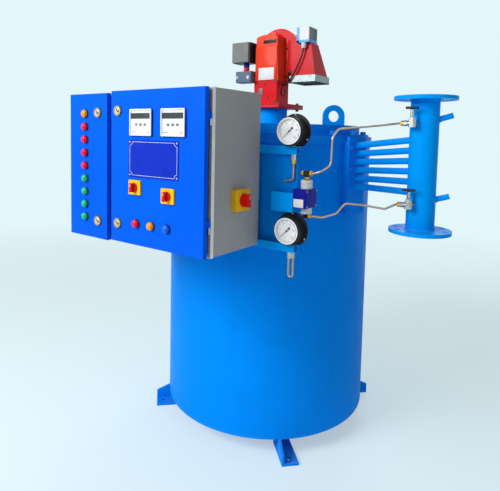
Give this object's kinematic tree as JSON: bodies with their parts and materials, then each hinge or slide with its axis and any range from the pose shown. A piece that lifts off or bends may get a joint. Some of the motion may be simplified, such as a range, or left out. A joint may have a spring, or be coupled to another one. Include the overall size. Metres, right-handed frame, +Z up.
{
  "type": "coil type industrial boiler with top burner and control panel",
  "caption": "Upright round industrial heater with a burner on its lid, a control panel with hinged doors on its front and a flanged oil header joined by tubes.",
  "frame": {"origin": "shell axis at floor level, centre of the four anchor holes", "axes": "+Z up, control panel doors face -Y, header stands on the +X side"},
  "size_m": [1.4431, 1.443, 1.932],
  "materials": {
    "blue_paint": "gloss enamel",
    "door_blue": "satin powder coat",
    "panel_grey": "fine textured powder coat",
    "steel": "satin",
    "black_plastic": "matt",
    "copper": "drawn tube",
    "white_plastic": "satin",
    "navy": "satin",
    "lamp_lens": "clear gloss",
    "yellow_plastic": "satin",
    "red_plastic": "gloss",
    "burner_red": "gloss enamel",
    "bare_metal": "satin",
    "grey_plastic": "satin",
    "motor_paint": "satin enamel"
  },
  "bodies": {
    "heater": {"shell_wall": "blue_paint", "bottom_plate": "blue_paint", "top_ring": "blue_paint", "top_lid": "blue_paint", "burner_neck": "blue_paint", "lifting_lugs": "blue_paint", "feet": "blue_paint", "tube_box": "blue_paint", "tube_box_cover": "blue_paint", "coil_tubes": "blue_paint", "header_pipe": "blue_paint", "header_top_flange": "blue_paint", "header_bottom_flange": "blue_paint", "header_sockets": "blue_paint", "panel_rails": "blue_paint", "rail_posts": "blue_paint", "backing_plate": "blue_paint", "switch_bracket": "blue_paint", "main_enclosure": "panel_grey", "lamp_enclosure": "panel_grey", "hinge_pins": "panel_grey", "needle_valves": "steel", "gauge_fittings": "steel", "gauge_cases": "black_plastic", "switch_ports": "black_plastic", "switch_lead": "black_plastic", "burner_control_box": "black_plastic", "pressure_lines": "copper", "gauge_tails": "copper", "gauge_dials": "white_plastic", "switch_caps": "white_plastic", "air_pressure_switch": "white_plastic", "switch_body": "navy", "isolator_box": "yellow_plastic", "burner_flange": "burner_red", "burner_block": "burner_red", "burner_cover": "burner_red", "fan_housing": "burner_red", "intake_hood": "burner_red", "intake_skirt": "bare_metal", "mounting_plates": "bare_metal", "control_box_lid": "grey_plastic", "fuel_valve": "grey_plastic", "fan_motor": "motor_paint"},
    "main_door": {"main_door": "door_blue", "controllers": "white_plastic", "blank_plate": "navy", "pilot_lamps": "lamp_lens", "selector_plates": "yellow_plastic", "main_door_locks": "yellow_plastic"},
    "lamp_door": {"lamp_door": "door_blue", "indicator_lamps": "lamp_lens", "lamp_door_locks": "yellow_plastic"},
    "selector_knob_left": {"selector_knob_left": "red_plastic"},
    "selector_knob_right": {"selector_knob_right": "red_plastic"},
    "isolator_knob": {"isolator_knob": "red_plastic"},
    "valve_handle_upper": {"valve_handle_upper": "black_plastic"},
    "valve_handle_lower": {"valve_handle_lower": "black_plastic"}
  },
  "joints": [
    {"name": "main_door_hinge", "type": "hinge", "parent": "heater", "child": "main_door", "pos_m": [0.3357, -0.8847, 1.263], "axis": [0, 0, 1], "range_deg": [0, 110]},
    {"name": "lamp_door_hinge", "type": "hinge", "parent": "heater", "child": "lamp_door", "pos_m": [-0.399, -0.8847, 1.257], "axis": [0, 0, -1], "range_deg": [0, 110]},
    {"name": "selector_left_turn", "type": "hinge", "parent": "main_door", "child": "selector_knob_left", "pos_m": [0.002, -0.9095, 1.193], "axis": [0, 1, 0], "range_deg": [0, 90]},
    {"name": "selector_right_turn", "type": "hinge", "parent": "main_door", "child": "selector_knob_right", "pos_m": [0.17, -0.9095, 1.175], "axis": [0, 1, 0], "range_deg": [0, 90]},
    {"name": "isolator_turn", "type": "hinge", "parent": "heater", "child": "isolator_knob", "pos_m": [0.3387, -0.727, 1.162], "axis": [-1, 0, 0], "range_deg": [0, 90]},
    {"name": "upper_valve_turn", "type": "hinge", "parent": "heater", "child": "valve_handle_upper", "pos_m": [0.79598, -0.2569, 1.465], "axis": [0, 0, 1], "range_deg": [0, 720]},
    {"name": "lower_valve_turn", "type": "hinge", "parent": "heater", "child": "valve_handle_lower", "pos_m": [0.79598, -0.2569, 1.154], "axis": [0, 0, 1], "range_deg": [0, 720]}
  ]
}
